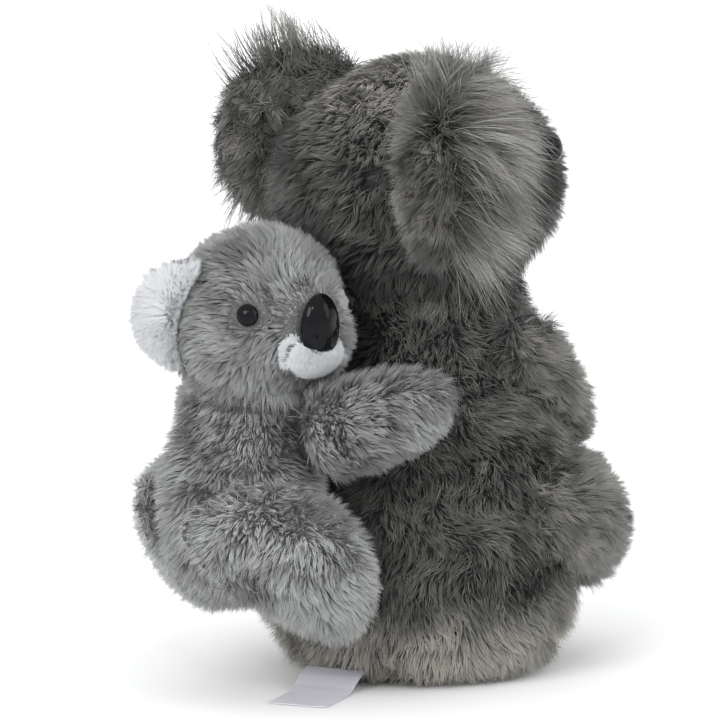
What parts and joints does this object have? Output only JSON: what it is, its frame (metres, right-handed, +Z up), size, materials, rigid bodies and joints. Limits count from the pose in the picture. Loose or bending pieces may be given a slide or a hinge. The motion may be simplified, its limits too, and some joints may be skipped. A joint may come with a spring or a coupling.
{
  "type": "plush koala",
  "caption": "Plush koala that sits upright with a smaller cub hugging its back; round fluffy ears, glossy oval nose and a small sewn-in label.",
  "frame": {"origin": "centre of the flat that the larger koala sits on", "axes": "+Z up through the larger koala's head; she faces -Y with her right side at -X; the cub is on her back at +Y"},
  "size_m": [0.167, 0.2436, 0.279],
  "materials": {
    "mother_plush": "long grey plush with pale tips",
    "cub_plush": "dense light grey plush with dark roots",
    "white_plush": "short white plush",
    "filling": "loose white fibre",
    "black_plastic": "glossy black",
    "washer_plastic": "plain",
    "label_satin": "smooth woven satin"
  },
  "bodies": {
    "mother_body": {"mother_body_skin": "mother_plush", "mother_body_filling": "filling"},
    "mother_head": {"mother_head_skin": "mother_plush", "mother_head_filling": "filling", "mother_muzzle": "white_plush", "mother_nose": "black_plastic", "mother_nose_washer": "washer_plastic", "mother_right_eye": "black_plastic", "mother_right_eye_washer": "washer_plastic", "mother_left_eye": "black_plastic", "mother_left_eye_washer": "washer_plastic"},
    "cub_body": {"cub_body_skin": "cub_plush", "cub_body_filling": "filling"},
    "cub_head": {"cub_head_skin": "cub_plush", "cub_head_filling": "filling", "cub_muzzle": "white_plush", "cub_nose": "black_plastic", "cub_nose_washer": "washer_plastic", "cub_right_eye": "black_plastic", "cub_right_eye_washer": "washer_plastic", "cub_left_eye": "black_plastic", "cub_left_eye_washer": "washer_plastic"},
    "side_label": {"side_label": "label_satin"},
    "mother_right_ear": {"mother_right_ear": "mother_plush"},
    "mother_right_arm": {"mother_right_arm": "mother_plush"},
    "mother_right_leg": {"mother_right_leg": "mother_plush"},
    "mother_left_ear": {"mother_left_ear": "mother_plush"},
    "mother_left_arm": {"mother_left_arm": "mother_plush"},
    "mother_left_leg": {"mother_left_leg": "mother_plush"},
    "cub_right_ear": {"cub_right_ear": "white_plush"},
    "cub_right_arm": {"cub_right_arm": "cub_plush"},
    "cub_right_leg": {"cub_right_leg": "cub_plush"},
    "cub_left_ear": {"cub_left_ear": "white_plush"},
    "cub_left_arm": {"cub_left_arm": "cub_plush"},
    "cub_left_leg": {"cub_left_leg": "cub_plush"}
  },
  "joints": [
    {"name": "mother_neck", "type": "hinge", "parent": "mother_body", "child": "mother_head", "pos_m": [0, 0.002, 0.178], "axis": [0, 0, 1], "range_deg": [-20, 20], "stiffness_Nm_per_rad": 0.3},
    {"name": "mother_right_ear_seam", "type": "hinge", "parent": "mother_head", "child": "mother_right_ear", "pos_m": [-0.05351, 0.03056, 0.23967], "axis": [0.1986, -0.2367, 0.9511], "range_deg": [-12, 12], "stiffness_Nm_per_rad": 0.08},
    {"name": "mother_left_ear_seam", "type": "hinge", "parent": "mother_head", "child": "mother_left_ear", "pos_m": [0.05351, 0.03056, 0.23967], "axis": [-0.1986, -0.2367, 0.9511], "range_deg": [-12, 12], "stiffness_Nm_per_rad": 0.08},
    {"name": "mother_right_shoulder", "type": "hinge", "parent": "mother_body", "child": "mother_right_arm", "pos_m": [-0.04203, -0.01197, 0.14676], "axis": [-1, 0, 0], "range_deg": [0, 45], "stiffness_Nm_per_rad": 0.1},
    {"name": "mother_left_shoulder", "type": "hinge", "parent": "mother_body", "child": "mother_left_arm", "pos_m": [0.04203, -0.01197, 0.14676], "axis": [-1, 0, 0], "range_deg": [0, 45], "stiffness_Nm_per_rad": 0.1},
    {"name": "mother_right_hip", "type": "hinge", "parent": "mother_body", "child": "mother_right_leg", "pos_m": [-0.06597, 0.00401, 0.06965], "axis": [0, 0, -1], "range_deg": [0, 25], "stiffness_Nm_per_rad": 0.15},
    {"name": "mother_left_hip", "type": "hinge", "parent": "mother_body", "child": "mother_left_leg", "pos_m": [0.06597, 0.00401, 0.06965], "axis": [0, 0, 1], "range_deg": [0, 25], "stiffness_Nm_per_rad": 0.15},
    {"name": "cub_seat_seam", "type": "hinge", "parent": "mother_body", "child": "cub_body", "pos_m": [0, 0.073, 0.095], "axis": [0, 1, 0], "range_deg": [-6, 6], "stiffness_Nm_per_rad": 0.8},
    {"name": "cub_neck", "type": "hinge", "parent": "cub_body", "child": "cub_head", "pos_m": [0, 0.096, 0.137], "axis": [0, 0, 1], "range_deg": [-10, 10], "stiffness_Nm_per_rad": 0.15},
    {"name": "cub_right_ear_seam", "type": "hinge", "parent": "cub_head", "child": "cub_right_ear", "pos_m": [0.01414, 0.13497, 0.17571], "axis": [-0.0705, -0.0512, 0.9962], "range_deg": [-12, 12], "stiffness_Nm_per_rad": 0.03},
    {"name": "cub_left_ear_seam", "type": "hinge", "parent": "cub_head", "child": "cub_left_ear", "pos_m": [0.00858, 0.05544, 0.17571], "axis": [-0.0627, 0.0605, 0.9962], "range_deg": [-12, 12], "stiffness_Nm_per_rad": 0.03},
    {"name": "cub_right_shoulder", "type": "hinge", "parent": "cub_body", "child": "cub_right_arm", "pos_m": [-0.026, 0.093, 0.11999], "axis": [0, 0, -1], "range_deg": [0, 35], "stiffness_Nm_per_rad": 0.05},
    {"name": "cub_left_shoulder", "type": "hinge", "parent": "cub_body", "child": "cub_left_arm", "pos_m": [0.026, 0.09199, 0.11604], "axis": [0, 0, 1], "range_deg": [0, 35], "stiffness_Nm_per_rad": 0.05},
    {"name": "cub_right_hip", "type": "hinge", "parent": "cub_body", "child": "cub_right_leg", "pos_m": [-0.02, 0.12399, 0.07599], "axis": [0, 0, -1], "range_deg": [0, 25], "stiffness_Nm_per_rad": 0.05},
    {"name": "cub_left_hip", "type": "hinge", "parent": "cub_body", "child": "cub_left_leg", "pos_m": [0.022, 0.112, 0.08098], "axis": [0, 0, 1], "range_deg": [0, 25], "stiffness_Nm_per_rad": 0.05},
    {"name": "label_seam", "type": "hinge", "parent": "mother_body", "child": "side_label", "pos_m": [-0.008, 0.0589, 0.008], "axis": [0.891, 0.454, 0], "range_deg": [0, 20], "stiffness_Nm_per_rad": 0.005}
  ]
}
